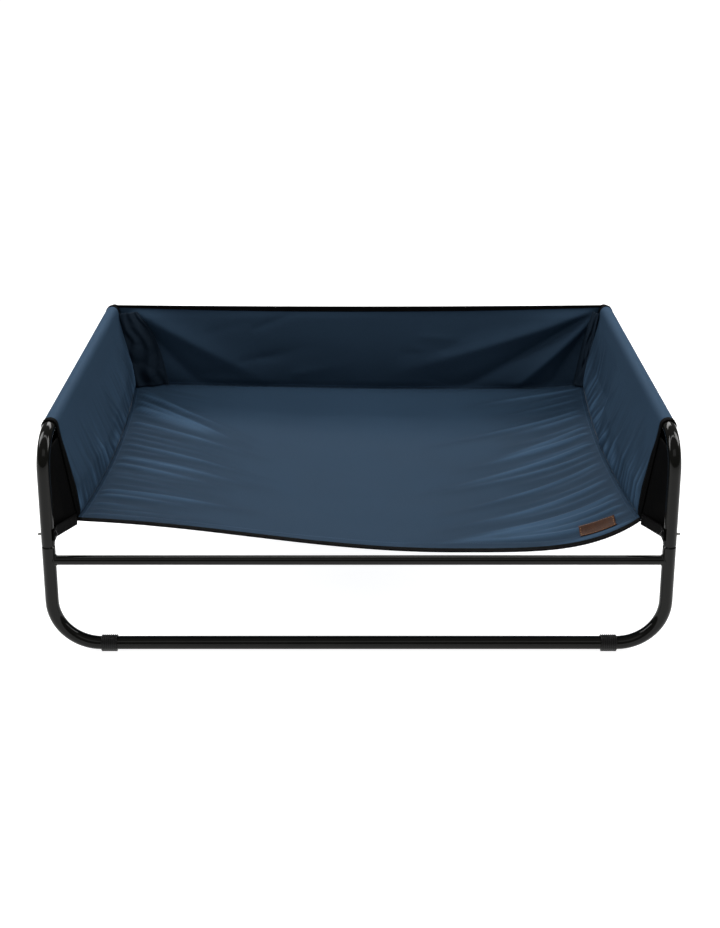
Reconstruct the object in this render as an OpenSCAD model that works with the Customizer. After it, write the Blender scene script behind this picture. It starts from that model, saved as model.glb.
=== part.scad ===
// Raised dog bed: a bolted tube frame that carries a high-walled fabric sling.
// Origin on the ground at the middle of the frame, +Z up, the open front towards -Y. Millimetres.

/* [Frame] */
// Width of the frame over its legs
frame_w = 1040; // [900:10:1250]
// Depth of the frame over its legs
frame_d = 770; // [640:10:900]
// Height of the bare side rails above the ground
frame_h = 388; // [340:2:470]
// Outside diameter of the hoop and base tubes
tube_d = 22; // [19:0.5:26]
// Wall of the hoop and base tubes
tube_wall = 1.2; // [1:0.1:1.8]
// Centreline radius of the bends at the top of the hoops
hoop_bend_r = 55; // [45:1:80]
// Centreline radius of the bends at the foot of the base tubes
base_bend_r = 78; // [60:1:95]

/* [Crossbars] */
// Outside diameter of the two crossbars
crossbar_d = 16; // [12:0.5:20]
// Wall of the crossbars
crossbar_wall = 1.2; // [1:0.1:1.8]
// Height of the crossbars' centreline above the ground
crossbar_z = 166; // [120:1:178]

/* [Leg joints] */
// Height of the lower tube's shoulder, where the two halves of a leg meet
joint_z = 193; // [188:1:205]
// Gap left between the shoulder and the mouth of the upper tube
joint_gap = 1.5; // [0:0.5:4]
// Length of the drawn-down end of the lower tube
spigot_len = 46; // [36:1:60]
// Clearance all round between the drawn-down end and the upper tube's bore
spigot_clearance = 0.2; // [0.1:0.05:0.4]
// Height over which the lower tube is drawn down
shoulder_h = 2.5; // [1:0.5:5]

/* [Bolts] */
// Thread diameter of the joint bolts
bolt_d = 4; // [4:0.5:6]
// Height of the bolts above the shoulder
bolt_rise = 20; // [16:1:26]
// Length of thread that stands out of the leg
bolt_proud = 5; // [2:0.5:8]
// Clearance on the diameter of the bolt holes
bolt_play = 0.4; // [0.2:0.1:0.8]

/* [Feet] */
// Length of a foot sleeve along the tube
foot_len = 26; // [18:1:40]
// Wall of a foot sleeve at its ribs
foot_wall = 2.5; // [1.5:0.1:4]
// Number of ribs round a foot sleeve
foot_ribs = 8; // [4:1:12]
// Depth of the grooves between the ribs
rib_depth = 0.8; // [0.4:0.1:1.2]
// Width of the flat sole under a foot sleeve
sole_w = 12; // [8:1:18]

/* [Sling] */
// Thickness of the coated fabric where it is hemmed and doubled
fabric_t = 1.2; // [0.8:0.1:2]
// Distance that the side seams of the floor sit inside the rails
seam_inset = 39; // [25:1:60]
// Height of the side seams at the four corners of the floor
seam_z = 212; // [205:1:230]
// Distance that the side seams bow inwards half way along
seam_bow = 13; // [0:1:25]
// Distance that the side seams dip half way along
seam_dip = 8; // [0:1:15]
// Distance that the rail sleeves stop short of the hoops' bends
sleeve_inset = 4; // [2:1:20]
// Height of the flap that hangs down outside a rail
flap_h = 26; // [15:1:45]
// Distance that the floor runs forward of the walls
floor_overhang = 15; // [5:1:30]
// Sag of the floor at its front edge
front_sag = 58; // [10:1:62]
// Sag of the floor at its rear seam
rear_sag = 10; // [0:1:25]
// Distance of the lowest point to the right of the middle
sag_offset = 160; // [-150:5:180]
// Sag of the back wall's top edge
back_sag = 3; // [0:0.5:10]

/* [Tapes and tabs] */
// Width of the binding tape on each side of an edge
tape_w = 10; // [6:1:16]
// Thickness of the binding tape
tape_t = 0.5; // [0.3:0.1:0.8]
// Height of the strap tabs that are bolted to the legs
tab_h = 20; // [16:1:26]
// Thickness of the strap tabs
tab_t = 1.8; // [1.2:0.1:3]
// Length and width of the label patch
patch_size = [60, 30]; // [20:1:90]
// Thickness of the label patch
patch_t = 1.4; // [0.8:0.1:2.5]

/* [Hidden] */
$fn = 64;

NAVY = "#31455c";
BACK_NAVY = "#1f2d3d";
BLACK_CLOTH = "#141516";
FRAME_BLACK = "#1c1c1a";
STEEL = "#9a9a96";
RUBBER = "#101010";
TAN = "#7a4a22";

// Places that follow from the frame
tube_r = tube_d / 2;
leg_x = frame_w / 2 - tube_r;
leg_y = frame_d / 2 - tube_r;
rail_z = frame_h - tube_r;
base_z = tube_r + foot_wall;
bore_r = tube_r - tube_wall;
spigot_r = bore_r - spigot_clearance;
bolt_z = joint_z + bolt_rise;
hoop_foot_z = joint_z + joint_gap;
through = 1;

// Places that follow from the sling
cloth_gap = 0.2;
tape_lip = fabric_t / 2 + cloth_gap / 2;
tape_skin = tape_lip + tape_t;
sleeve_y = leg_y - hoop_bend_r - sleeve_inset;
wrap_r = tube_r + cloth_gap + tape_skin;
seam_x = leg_x - seam_inset;
back_y = sleeve_y + cloth_gap / 2 + tape_t + cloth_gap + fabric_t / 2;
pocket_end_y = back_y + fabric_t / 2 + cloth_gap;
floor_lift = 3;
tab_end_gap = 1;
wall_rows = 10;
wall_steps = 4;
arc_steps = 12;

// A tube bend: a quarter ring of radius bend_r that starts at [bend_r, 0] and rises
module bend(bend_r, r) {
    rotate_extrude(angle = 90, $fn = 96)
        translate([bend_r, 0])
            circle(r = r);
}

// One layer of a hoop, seen along +X with its legs at -leg_y and +leg_y
module hoop_layer(r, foot_z) {
    for (end = [-1, 1])
        translate([0, end * leg_y, foot_z])
            cylinder(r = r, h = rail_z - hoop_bend_r - foot_z);
    for (end = [-1, 1])
        translate([0, end * (leg_y - hoop_bend_r), rail_z - hoop_bend_r])
            rotate([0, 0, end * 90])
                rotate([90, 0, 0])
                    bend(hoop_bend_r, r);
    translate([0, hoop_bend_r - leg_y, rail_z])
        rotate([-90, 0, 0])
            cylinder(r = r, h = 2 * (leg_y - hoop_bend_r));
}

// Round holes along X through both legs of a hoop or through a leg's drawn-down end
module bolt_hole(y) {
    translate([-tube_d, y, bolt_z])
        rotate([0, 90, 0])
            cylinder(d = bolt_d + bolt_play, h = 2 * tube_d);
}

module hoop(side) {
    translate([side * leg_x, 0, 0])
        difference() {
            hoop_layer(tube_r, hoop_foot_z);
            hoop_layer(bore_r, hoop_foot_z - through);
            for (end = [-1, 1])
                bolt_hole(end * leg_y);
        }
}

module left_hoop() {
    color(FRAME_BLACK) hoop(-1);
}

module right_hoop() {
    color(FRAME_BLACK) hoop(1);
}

// Outline of a leg and its drawn-down end, outside and bore, for turning round the leg
module leg_outline(foot_z) {
    polygon([
        [bore_r, foot_z], [tube_r, foot_z], [tube_r, joint_z - shoulder_h],
        [spigot_r, joint_z], [spigot_r, joint_z + spigot_len],
        [spigot_r - tube_wall, joint_z + spigot_len],
        [spigot_r - tube_wall, joint_z], [bore_r, joint_z - shoulder_h]
    ]);
}

// A base tube: two legs, two bends and the stretch that lies along the ground
module base_tube(end) {
    leg_foot_z = base_z + base_bend_r;
    run = leg_x - base_bend_r;
    translate([0, end * leg_y, 0]) {
        for (side = [-1, 1]) {
            difference() {
                translate([side * leg_x, 0, 0])
                    rotate_extrude()
                        leg_outline(leg_foot_z);
                translate([side * leg_x, 0, 0])
                    bolt_hole(0);
            }
            translate([side * run, 0, leg_foot_z])
                rotate([0, 0, side > 0 ? 0 : 180])
                    rotate([-90, 0, 0])
                        difference() {
                            bend(base_bend_r, tube_r);
                            bend(base_bend_r, bore_r);
                        }
        }
        translate([-run, 0, base_z])
            rotate([0, 90, 0])
                difference() {
                    cylinder(r = tube_r, h = 2 * run);
                    translate([0, 0, -through])
                        cylinder(r = bore_r, h = 2 * (run + through));
                }
    }
}

module front_base_tube() {
    color(FRAME_BLACK) base_tube(-1);
}

module rear_base_tube() {
    color(FRAME_BLACK) base_tube(1);
}

// A crossbar, its ends shaped to the legs that it is welded to
module crossbar(end) {
    translate([0, end * leg_y, 0])
        difference() {
            translate([-leg_x, 0, crossbar_z])
                rotate([0, 90, 0])
                    cylinder(d = crossbar_d, h = 2 * leg_x);
            translate([-leg_x - through, 0, crossbar_z])
                rotate([0, 90, 0])
                    cylinder(d = crossbar_d - 2 * crossbar_wall, h = 2 * (leg_x + through));
            for (side = [-1, 1])
                translate([side * leg_x, 0, crossbar_z - crossbar_d])
                    cylinder(r = tube_r, h = 2 * crossbar_d);
        }
}

module front_crossbar() {
    color(FRAME_BLACK) crossbar(-1);
}

module rear_crossbar() {
    color(FRAME_BLACK) crossbar(1);
}

// A ribbed sleeve round a base tube, with a flat sole on the ground
module foot(side, end) {
    foot_gap = 1;
    start = leg_x - base_bend_r - foot_gap - foot_len;
    pitch = foot_len / (foot_ribs - 0.5);
    groove_r = base_z - rib_depth;
    translate([side > 0 ? start : -start - foot_len, end * leg_y, base_z])
        difference() {
            union() {
                rotate([0, 90, 0])
                    cylinder(r = groove_r, h = foot_len);
                for (i = [0:foot_ribs - 1])
                    translate([i * pitch, 0, 0])
                        rotate([0, 90, 0])
                            cylinder(r = base_z, h = pitch / 2);
                translate([0, -sole_w / 2, -base_z])
                    cube([foot_len, sole_w, base_z]);
            }
            translate([-through, 0, 0])
                rotate([0, 90, 0])
                    cylinder(r = tube_r, h = foot_len + 2 * through);
        }
}

module front_left_foot() {
    color(RUBBER) foot(-1, -1);
}

module front_right_foot() {
    color(RUBBER) foot(1, -1);
}

module rear_left_foot() {
    color(RUBBER) foot(-1, 1);
}

module rear_right_foot() {
    color(RUBBER) foot(1, 1);
}

// Fasteners: each leg has a bolt from its inner side, through tab, leg and spigot
washer_t = 1;
washer_d = 2.5 * bolt_d;
head_d = 1.9 * bolt_d;
head_h = 0.65 * bolt_d;
key_af = 0.6 * bolt_d;
nut_af = 1.75 * bolt_d;
nut_t = 0.8 * bolt_d;
eyelet_d = 12;
eyelet_lip = 0.5;
tab_x = tube_r + tab_t;
stack_x = tab_x + eyelet_lip;

// Places its children at each of the four bolts, with +X pointing into the bed
module at_bolts() {
    for (side = [-1, 1], end = [-1, 1])
        translate([side * leg_x, end * leg_y, bolt_z])
            rotate([0, 0, side > 0 ? 180 : 0])
                children();
}

module joint_bolts() {
    head_x = stack_x + washer_t;
    color(STEEL)
        at_bolts()
            difference() {
                union() {
                    translate([-tube_r - bolt_proud, 0, 0])
                        rotate([0, 90, 0])
                            cylinder(d = bolt_d, h = head_x + tube_r + bolt_proud);
                    translate([head_x, 0, 0])
                        rotate([0, 90, 0])
                            cylinder(d = head_d, h = head_h);
                }
                translate([head_x + head_h / 2, 0, 0])
                    rotate([0, 90, 0])
                        cylinder(d = key_af / cos(30), h = head_h, $fn = 6);
            }
}

module joint_washers() {
    color(STEEL)
        at_bolts()
            translate([stack_x, 0, 0])
                rotate([0, 90, 0])
                    difference() {
                        cylinder(d = washer_d, h = washer_t);
                        translate([0, 0, -through])
                            cylinder(d = bolt_d + bolt_play, h = washer_t + 2 * through);
                    }
}

// Captive nuts inside the spigots, against the wall where the thread comes out
module joint_nuts() {
    inner_r = spigot_r - tube_wall;
    nut_reach = sqrt(pow(inner_r, 2) - pow(nut_af / 2 / cos(30), 2)) - 0.1;
    color(STEEL)
        at_bolts()
            translate([-nut_reach, 0, 0])
                rotate([0, 90, 0])
                    difference() {
                        cylinder(d = nut_af / cos(30), h = nut_t, $fn = 6);
                        translate([0, 0, -through])
                            cylinder(d = bolt_d, h = nut_t + 2 * through);
                    }
}

// Pressed eyelets that line the tabs' holes
module tab_eyelets() {
    color(STEEL)
        at_bolts()
            translate([tube_r, 0, 0])
                rotate([0, 90, 0])
                    difference() {
                        union() {
                            cylinder(d = bolt_d + 3, h = tab_t);
                            translate([0, 0, tab_t])
                                cylinder(d = eyelet_d, h = eyelet_lip);
                        }
                        translate([0, 0, -through])
                            cylinder(d = bolt_d + bolt_play, h = tab_t + eyelet_lip + 2 * through);
                    }
}

// A strap tab, drawn for the right front: flat on the leg, then turned towards the floor's corner
module tab(side, end) {
    flat_end = 9;
    turn = 11;
    run_x = leg_x - tab_x - seam_x - tab_end_gap;
    run_y = leg_y - pocket_end_y - turn;
    slope = run_x / run_y;
    color(BLACK_CLOTH)
        mirror([side > 0 ? 0 : 1, 0, 0])
            mirror([0, end > 0 ? 1 : 0, 0])
                translate([leg_x, -leg_y, bolt_z])
                    difference() {
                        translate([0, 0, -tab_h / 2])
                            linear_extrude(height = tab_h)
                                polygon([
                                    [-tube_r, -flat_end], [-tube_r, turn],
                                    [-tube_r - run_x, turn + run_y],
                                    [-tab_x - run_x, turn + run_y - slope],
                                    [-tab_x, turn - slope], [-tab_x, -flat_end]
                                ]);
                        translate([-tube_d, 0, 0])
                            rotate([0, 90, 0])
                                cylinder(d = bolt_d + 3, h = 2 * tube_d);
                    }
}

module front_left_tab() {
    tab(-1, -1);
}

module front_right_tab() {
    tab(1, -1);
}

module rear_left_tab() {
    tab(-1, 1);
}

module rear_right_tab() {
    tab(1, 1);
}

// Cloth: every panel is a grid of points on its middle surface, given a thickness
function unit(v) = v / norm(v);
function clamp(i, top) = max(0, min(top, i));
function across(grid, i, j) =
    grid[clamp(i + 1, len(grid) - 1)][j] - grid[clamp(i - 1, len(grid) - 1)][j];
function along(grid, i, j) =
    grid[i][clamp(j + 1, len(grid[0]) - 1)] - grid[i][clamp(j - 1, len(grid[0]) - 1)];
function normal(grid, i, j) = unit(cross(across(grid, i, j), along(grid, i, j)));
function layer(grid, shift) = [
    for (i = [0:len(grid) - 1], j = [0:len(grid[0]) - 1]) grid[i][j] + shift * normal(grid, i, j)
];
function quad(a, b, c, d) = [[a, b, c], [a, c, d]];

// A closed panel of thickness t round a grid of points
module panel(grid, t = fabric_t) {
    ni = len(grid);
    nj = len(grid[0]);
    back = ni * nj;
    function id(i, j) = i * nj + j;
    faces = [
        for (i = [0:ni - 2], j = [0:nj - 2])
            each quad(id(i, j), id(i, j + 1), id(i + 1, j + 1), id(i + 1, j)),
        for (i = [0:ni - 2], j = [0:nj - 2])
            each quad(back + id(i, j), back + id(i + 1, j), back + id(i + 1, j + 1), back + id(i, j + 1)),
        for (i = [0:ni - 2])
            each quad(id(i, 0), id(i + 1, 0), back + id(i + 1, 0), back + id(i, 0)),
        for (i = [0:ni - 2])
            each quad(id(i, nj - 1), back + id(i, nj - 1), back + id(i + 1, nj - 1), id(i + 1, nj - 1)),
        for (j = [0:nj - 2])
            each quad(id(0, j), back + id(0, j), back + id(0, j + 1), id(0, j + 1)),
        for (j = [0:nj - 2])
            each quad(id(ni - 1, j), id(ni - 1, j + 1), back + id(ni - 1, j + 1), back + id(ni - 1, j))
    ];
    polyhedron(points = concat(layer(grid, t / 2), layer(grid, -t / 2)), faces = faces);
}

// A tape folded over a panel's edge: rings of eight points, each square to the edge.
// inner is the panel's next line of points in from the edge, and face its normals along the edge.
module tape(edge, inner, face) {
    fold = -cloth_gap / 2;
    outline = [
        [fold - tape_t, -tape_skin], [tape_w, -tape_skin], [tape_w, -tape_lip], [fold, -tape_lip],
        [fold, tape_lip], [tape_w, tape_lip], [tape_w, tape_skin], [fold - tape_t, tape_skin]
    ];
    n = len(outline);
    last = len(edge) - 1;
    points = [
        for (i = [0:last], p = outline)
            edge[i] + p[0] * unit(inner[i] - edge[i]) + p[1] * face[i]
    ];
    faces = [
        [for (k = [0:n - 1]) k],
        for (i = [0:last - 1], k = [0:n - 1])
            each quad(i * n + k, (i + 1) * n + k, (i + 1) * n + (k + 1) % n, i * n + (k + 1) % n),
        [for (k = [0:n - 1]) last * n + n - 1 - k]
    ];
    polyhedron(points = points, faces = faces);
}

// Side seam: place and height of the foot of a side wall, v from -1 at the front to 1 at the back
function seam(v) = [seam_x - seam_bow * (1 - v * v), seam_z - seam_dip * (1 - v * v)];

// Section of a right wall through its sleeve: up the inside, over the rail, down to the flap's hem
function lean(v) = let (d = [leg_x, rail_z] - seam(v)) atan2(d[1], d[0]);
function swing(v) = asin(wrap_r / norm([leg_x, rail_z] - seam(v)));
function rail_point(a) = [leg_x + wrap_r * cos(a), rail_z + wrap_r * sin(a)];
function inner_top(v) = rail_point(lean(v) + swing(v) + 90);
function outer_top(v) = rail_point(lean(v) - swing(v) - 90);
function hem(v) = outer_top(v) + flap_h * unit(outer_foot(v) - outer_top(v));
function outer_foot(v) = seam(v) + [tape_skin + cloth_gap + fabric_t / 2, 0];
function wall_section(v) = let (
    foot = seam(v), top = inner_top(v), from = lean(v) + swing(v) + 90, to = lean(v) - swing(v) - 90
) [
    for (k = [0:wall_steps - 1]) foot + (top - foot) * k / wall_steps,
    for (k = [0:arc_steps]) rail_point(from + (to - from) * k / arc_steps),
    hem(v)
];

// Right wall: the inner face of the side, its sleeve and the flap outside the rail
wall_grid = [
    for (row = [0:wall_rows]) let (v = 2 * row / wall_rows - 1)
        [for (p = wall_section(v)) [p[0], v * sleeve_y, p[1]]]
];

module wall_panel(side) {
    color(NAVY)
        mirror([side > 0 ? 0 : 1, 0, 0])
            panel(wall_grid);
}

module left_wall_panel() {
    wall_panel(-1);
}

module right_wall_panel() {
    wall_panel(1);
}

// Outer panel: from the flap's hem down to the side seam
module outer_panel(side) {
    steps = 3;
    hem_gap = 0.2;
    grid = [
        for (row = [0:wall_rows]) let (v = 2 * row / wall_rows - 1)
            let (down = unit(outer_foot(v) - hem(v)), top = hem(v) + hem_gap * down)
                [for (k = [0:steps]) let (p = top + (outer_foot(v) - top) * k / steps)
                    [p[0], v * sleeve_y, p[1]]]
    ];
    color(BLACK_CLOTH)
        mirror([side > 0 ? 0 : 1, 0, 0])
            panel(grid);
}

module left_outer_panel() {
    outer_panel(-1);
}

module right_outer_panel() {
    outer_panel(1);
}

// Floor: hangs between the side seams, deepest at the open front
floor_front = -sleeve_y - floor_overhang;
floor_rear = sleeve_y - cloth_gap;
function floor_half(y) = seam(clamp_unit(y / sleeve_y))[0] - cloth_gap
    - (abs(y) > sleeve_y - tape_w ? tape_skin : fabric_t / 2);
function clamp_unit(v) = max(-1, min(1, v));
function floor_edge_z(y) = seam(clamp_unit(y / sleeve_y))[1] + floor_lift;
function sag_depth(y) =
    rear_sag + (front_sag - rear_sag) * pow(max(0, floor_rear - y) / (floor_rear - floor_front), 1.3);
// The floor falls gently from the left to its lowest point and rises steeply to the right
function sag_share(x, half) = x > sag_offset
    ? 1 - pow((x - sag_offset) / (half - sag_offset), 4)
    : let (t = (sag_offset - x) / (half + sag_offset)) 0.75 * (1 + cos(180 * t)) / 2 + 0.25 * (1 - t * t);
function floor_z(x, y) = floor_edge_z(y) - sag_depth(y) * sag_share(x, floor_half(y));
floor_cols = 40;
floor_rows = 12;
hem_row = 1.2 * tape_w;
floor_levels = [
    floor_front, floor_front + hem_row,
    for (r = [1:floor_rows]) floor_front + (floor_rear - floor_front) * r / floor_rows
];

floor_grid = [
    for (c = [0:floor_cols])
        [for (y = floor_levels) let (x = floor_half(y) * (2 * c / floor_cols - 1))
            [x, y, floor_z(x, y)]]
];

module floor_panel() {
    color(NAVY) panel(floor_grid);
}

// Binding along the floor's front edge
module front_hem_binding() {
    color(BLACK_CLOTH)
        tape(
            [for (line = floor_grid) line[0]],
            [for (line = floor_grid) line[1]],
            [for (c = [0:floor_cols]) normal(floor_grid, c, 0)]
        );
}

// Back wall: fills the section between the two side walls' bound edges
back_top = rail_z + wrap_r - tape_t;
back_cols = 16;
low_rows = 5;
corner_rows = 4;
back_rows = low_rows + corner_rows;
function side_x(z) = let (foot = seam(1), top = inner_top(1))
    z > top[1]
        ? rail_side_x(z)
        : foot[0] + (top[0] - foot[0]) * (z - foot[1]) / (top[1] - foot[1]) - tape_skin - cloth_gap;
function rail_side_x(z) =
    leg_x - sqrt(max(0, pow(wrap_r + tape_skin + cloth_gap, 2) - pow(z - rail_z, 2)));
function back_top_z(s) = back_top - back_sag * (1 - s * s);
function back_foot_z(s) = let (x = s * side_x(seam_z)) floor_z(x, floor_rear) - floor_lift;
rail_share = (inner_top(1)[1] - back_foot_z(1)) / (back_top - back_foot_z(1));
back_levels = [
    for (r = [0:low_rows - 1]) rail_share * r / low_rows,
    for (r = [0:corner_rows]) rail_share + (1 - rail_share) * r / corner_rows
];
back_grid = [
    for (c = [0:back_cols]) let (s = 2 * c / back_cols - 1)
        [for (level = back_levels) let (
            z = back_foot_z(s) + (back_top_z(s) - back_foot_z(s)) * level
        ) [s * side_x(z), back_y, z]]
];

module back_wall_panel() {
    color(BACK_NAVY) panel(back_grid);
}

module back_wall_binding() {
    color(BLACK_CLOTH)
        tape(
            [for (line = back_grid) line[back_rows]],
            [for (line = back_grid) line[back_rows - 1]],
            [for (c = [0:back_cols]) normal(back_grid, c, back_rows)]
        );
}

// Binding round the open end of a rail sleeve and down the wall's edge
module sleeve_binding(side, end) {
    color(BLACK_CLOTH)
        mirror([side > 0 ? 0 : 1, 0, 0])
            mirror([0, end > 0 ? 1 : 0, 0])
                tape(
                    wall_grid[0],
                    wall_grid[1],
                    [for (j = [0:len(wall_grid[0]) - 1]) normal(wall_grid, 0, j)]
                );
}

module front_left_sleeve_binding() {
    sleeve_binding(-1, -1);
}

module front_right_sleeve_binding() {
    sleeve_binding(1, -1);
}

module rear_left_sleeve_binding() {
    sleeve_binding(-1, 1);
}

module rear_right_sleeve_binding() {
    sleeve_binding(1, 1);
}

// End gusset: closes the end of a side pocket, from the wall's edge to the leg
module gusset(side, end) {
    steps = 5;
    leg_side = leg_y - tube_r - cloth_gap;
    top_x = leg_x - tube_r / 2;
    top_z = rail_z - tube_r - 6;
    bend_z = rail_z - hoop_bend_r;
    foot_z = bolt_z - tab_h / 4;
    foot_x = seam_x + tab_end_gap + tab_t + fabric_t / 2 + 3 * cloth_gap;
    twist = 2;
    grid = [
        for (i = [0:steps]) let (s = i / steps)
            [for (k = [0:steps]) let (
                t = k / steps,
                a = [foot_x + s * (top_x - foot_x), -pocket_end_y, foot_z + s * (top_z - foot_z)],
                b = [leg_x - (1 - s) * twist, -leg_side, foot_z + s * (bend_z - foot_z)]
            ) a + t * (b - a)]
    ];
    color(BLACK_CLOTH)
        mirror([side > 0 ? 0 : 1, 0, 0])
            mirror([0, end > 0 ? 1 : 0, 0])
                panel(grid);
}

module front_left_gusset() {
    gusset(-1, -1);
}

module front_right_gusset() {
    gusset(1, -1);
}

module rear_left_gusset() {
    gusset(-1, 1);
}

module rear_right_gusset() {
    gusset(1, 1);
}

// Loose fold of cloth in a rear corner, between a side wall and the back wall
module corner_fold(side, top_w, foot_w) {
    steps = 6;
    clear = fabric_t + 1;
    depth = 16;
    grid = [
        for (i = [0:steps]) let (
            s = i / steps,
            z = seam_z + 2 * floor_lift + s * (back_top - tape_w - 1 - seam_z - 2 * floor_lift),
            w = foot_w + s * (top_w - foot_w),
            x = side_x(z) - clear
        )
            [for (k = [0:steps]) let (t = k / steps, swell = 5 * sin(180 * t))
                [x - t * w - swell, sleeve_y - clear - depth * (1 - t) - swell, z]]
    ];
    color(BACK_NAVY)
        mirror([side > 0 ? 0 : 1, 0, 0])
            panel(grid);
}

module rear_left_corner_fold() {
    corner_fold(-1, 36, 66);
}

module rear_right_corner_fold() {
    corner_fold(1, 10, 18);
}

// Patch sewn on the floor near its front right corner
module label_patch() {
    from_side = 36;
    from_front = 22;
    steps = 4;
    x0 = seam_x - from_side - patch_size[0];
    y0 = floor_front + from_front;
    lift = fabric_t / 2 + patch_t / 2 + 3 * cloth_gap;
    grid = [
        for (i = [0:steps])
            [for (k = [0:steps]) let (
                x = x0 + patch_size[0] * i / steps, y = y0 + patch_size[1] * k / steps
            ) [x, y, floor_z(x, y) + lift]]
    ];
    color(TAN) panel(grid, patch_t);
}

left_hoop();
right_hoop();
front_base_tube();
rear_base_tube();
front_crossbar();
rear_crossbar();
front_left_foot();
front_right_foot();
rear_left_foot();
rear_right_foot();
joint_bolts();
joint_washers();
joint_nuts();
tab_eyelets();
floor_panel();
left_wall_panel();
right_wall_panel();
left_outer_panel();
right_outer_panel();
back_wall_panel();
front_left_gusset();
front_right_gusset();
rear_left_gusset();
rear_right_gusset();
rear_left_corner_fold();
rear_right_corner_fold();
front_left_tab();
front_right_tab();
rear_left_tab();
rear_right_tab();
front_hem_binding();
back_wall_binding();
front_left_sleeve_binding();
front_right_sleeve_binding();
rear_left_sleeve_binding();
rear_right_sleeve_binding();
label_patch();
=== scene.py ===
"""Raised dog bed: a bolted tube frame that carries a high-walled sling of coated Oxford cloth."""
import logging
import math
import random
from dataclasses import dataclass, field
from enum import Enum
from typing import Callable, Iterable, Optional, Sequence

import bmesh
import bpy
from mathutils import Matrix, Vector, noise


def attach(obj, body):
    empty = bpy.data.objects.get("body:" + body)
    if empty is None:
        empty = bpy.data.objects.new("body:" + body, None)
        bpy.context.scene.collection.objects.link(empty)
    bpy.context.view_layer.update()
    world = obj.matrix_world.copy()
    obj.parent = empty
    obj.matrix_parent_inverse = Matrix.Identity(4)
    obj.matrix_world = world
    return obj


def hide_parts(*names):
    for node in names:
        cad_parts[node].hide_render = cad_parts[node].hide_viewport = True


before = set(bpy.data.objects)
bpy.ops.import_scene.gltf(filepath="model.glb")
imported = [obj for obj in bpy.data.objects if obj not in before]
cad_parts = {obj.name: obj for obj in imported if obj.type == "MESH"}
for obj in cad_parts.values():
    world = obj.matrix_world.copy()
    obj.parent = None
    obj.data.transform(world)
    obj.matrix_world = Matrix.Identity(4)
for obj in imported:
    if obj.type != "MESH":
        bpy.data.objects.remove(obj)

LOG = logging.getLogger("dog_bed")
MM = 0.001
BODY = "root"
CLOTH_UV = "cloth"
# Attribute of painted light and shade on the cloth: painted highlight on crease ridges and rail
# sleeves, painted shade at crease feet
PAINTED_LIGHT_ATTR = "wear"
TRIM_SEED = 11

Tree = bpy.types.NodeTree
Node = bpy.types.Node
Socket = bpy.types.NodeSocket
Piece = bpy.types.Object
Shape = bmesh.types.BMesh
Place = Callable[[float, float], Vector]
# Gives the painted light and shade at a point (s, t) of a sheet: painted highlight above 0,
# painted shade below 0
PaintedLightAt = Callable[[float, float], float]


class Side(Enum):
    """The bed's left or right, as seen from its open front."""

    LEFT = -1
    RIGHT = 1

    @property
    def label(self) -> str:
        """The side's word in the names of pieces."""
        return self.name.lower()


class End(Enum):
    """The bed's open front or its rear."""

    FRONT = -1
    REAR = 1


CORNERS = [(side, end) for side in Side for end in End]


def corner_label(side: Side, end: End) -> str:
    """A corner's words in the names of pieces, such as "front_left"."""
    return f"{end.name.lower()}_{side.label}"


# ---------------------------------------------------------------- sizes

@dataclass(frozen=True)
class BedSizes:
    """Sizes and places that the frame and the sling share, in metres."""

    leg_x: float = 509 * MM
    leg_y: float = 374 * MM
    rail_z: float = 377 * MM
    tube_r: float = 11 * MM
    hoop_bend_r: float = 55 * MM
    base_bend_r: float = 78 * MM
    base_z: float = 13.5 * MM
    crossbar_r: float = 8 * MM
    crossbar_z: float = 166 * MM
    bolt_z: float = 213 * MM
    bolt_r: float = 2 * MM
    bolt_proud: float = 5 * MM
    foot_len: float = 26 * MM
    foot_ribs: int = 8
    rib_depth: float = 0.8 * MM
    sole_w: float = 12 * MM
    sleeve_y: float = 315 * MM
    seam_x: float = 470 * MM
    seam_z: float = 212 * MM
    seam_bow: float = 13 * MM
    seam_dip: float = 8 * MM
    wrap_r: float = 12.4 * MM
    flap_h: float = 26 * MM
    floor_front: float = -330 * MM
    floor_rear: float = 314.8 * MM
    front_sag: float = 58 * MM
    rear_sag: float = 10 * MM
    sag_offset: float = 160 * MM
    back_y: float = 316.4 * MM
    pocket_end_y: float = 317.2 * MM
    back_top: float = 388.9 * MM
    patch_x: float = 374 * MM
    patch_y: float = -308 * MM
    patch_size: tuple[float, float] = (60 * MM, 30 * MM)
    back_sag: float = 3 * MM
    tape_w: float = 10 * MM
    tab_h: float = 20 * MM
    tab_t: float = 1.8 * MM


SIZES = BedSizes()


def smooth(low: float, high: float, value: float) -> float:
    """A soft step from 0 at low to 1 at high."""
    t = max(0.0, min(1.0, (value - low) / (high - low)))
    return t * t * (3 - 2 * t)


def clamp(value: float, low: float = -1.0, high: float = 1.0) -> float:
    """The value, kept between low and high."""
    return max(low, min(high, value))


# ---------------------------------------------------------------- shader nodes

def linear(hex_colour: str) -> tuple[float, float, float, float]:
    """The linear colour of an sRGB hex value such as "#1c1c1a"."""

    def channel(c: float) -> float:
        """One channel, from sRGB to linear."""
        return c / 12.92 if c <= 0.04045 else ((c + 0.055) / 1.055) ** 2.4

    values = [int(hex_colour[i:i + 2], 16) / 255 for i in (1, 3, 5)]
    return (*[channel(c) for c in values], 1.0)


def add_node(tree: Tree, kind: str, links: Optional[dict] = None,
             values: Optional[dict] = None, **settings) -> Node:
    """Add a shader node.

    Args:
        tree: the node tree.
        kind: the node's type, without "ShaderNode".
        links: input socket to the output socket that feeds it.
        values: input socket to its value.
        settings: the node's own properties.

    Returns:
        The new node.
    """
    node = tree.nodes.new("ShaderNode" + kind)
    for key, value in settings.items():
        setattr(node, key, value)
    for key, value in (values or {}).items():
        node.inputs[key].default_value = value
    for key, source in (links or {}).items():
        tree.links.new(source, node.inputs[key])
    return node


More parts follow.
